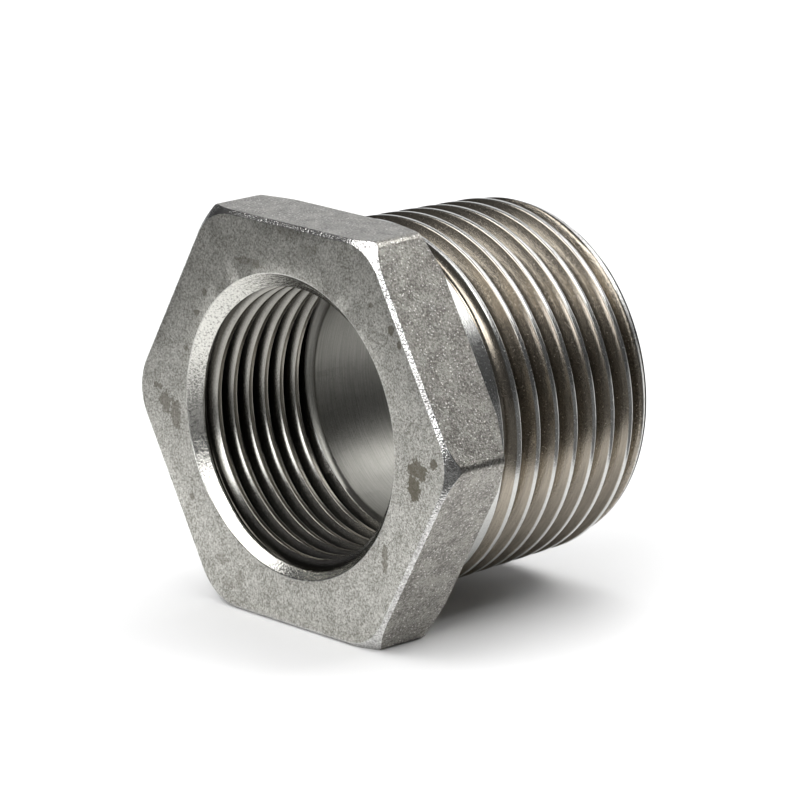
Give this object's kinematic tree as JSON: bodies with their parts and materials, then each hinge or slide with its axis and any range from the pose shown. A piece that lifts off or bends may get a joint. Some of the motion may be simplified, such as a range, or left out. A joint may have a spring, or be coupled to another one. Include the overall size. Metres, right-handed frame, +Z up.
{
  "type": "hex bushing",
  "caption": "One-piece metal reducing bushing: a hexagon on a short tapered, threaded barrel, bored right through, with a smaller thread inside its mouth.",
  "frame": {"origin": "on the floor, below the middle of the overall box", "axes": "+X along the bore from the hexagon's face to the barrel's small end, +Y across two of the hexagon's corners, +Z up and square to the flat that it lies on"},
  "size_m": [0.0282, 0.0414, 0.036],
  "materials": {
    "stainless": "investment-cast grey on the hexagon, turned satin on the threads, bore and chamfers"
  },
  "bodies": {
    "root": {"hex_bushing": "stainless"}
  },
  "joints": []
}
